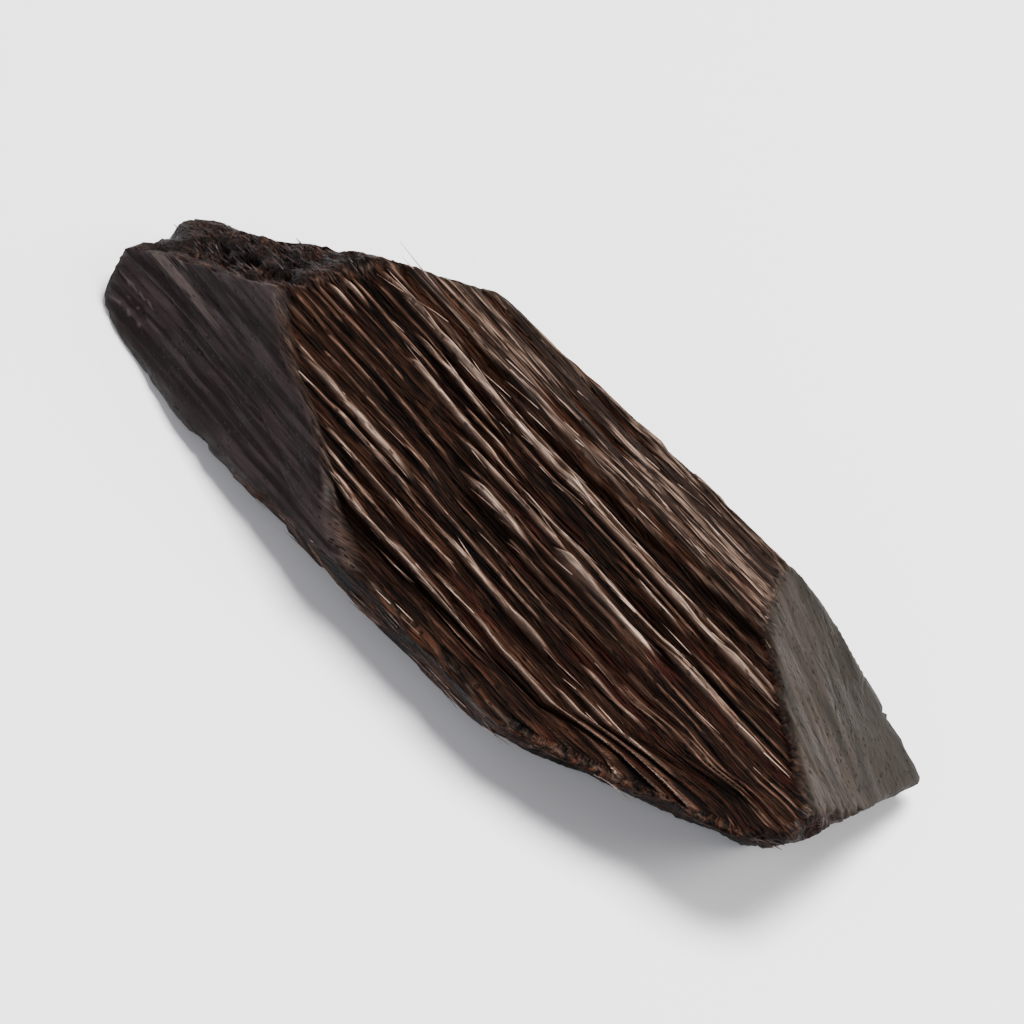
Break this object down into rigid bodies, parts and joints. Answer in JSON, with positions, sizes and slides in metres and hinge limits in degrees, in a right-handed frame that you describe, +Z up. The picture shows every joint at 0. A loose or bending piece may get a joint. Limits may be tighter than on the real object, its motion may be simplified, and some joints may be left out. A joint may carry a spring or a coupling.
{
  "type": "agarwood piece",
  "caption": "Split chip of dark resinous agarwood with a ridged, deeply grooved top, smooth slanting cuts at its ends and a flat underside.",
  "frame": {"origin": "centre of the bounding box at the flat underside", "axes": "+X along the grain from the broken head end to the tip, +Y across the grain from the thin near side to the thick far side, +Z up from the flat underside"},
  "size_m": [0.0324, 0.0098, 0.0046],
  "materials": {
    "agarwood": "dark brown to near black resinous wood, raw split surface with a faint oily sheen"
  },
  "bodies": {
    "root": {"agarwood_piece": "agarwood"}
  },
  "joints": []
}
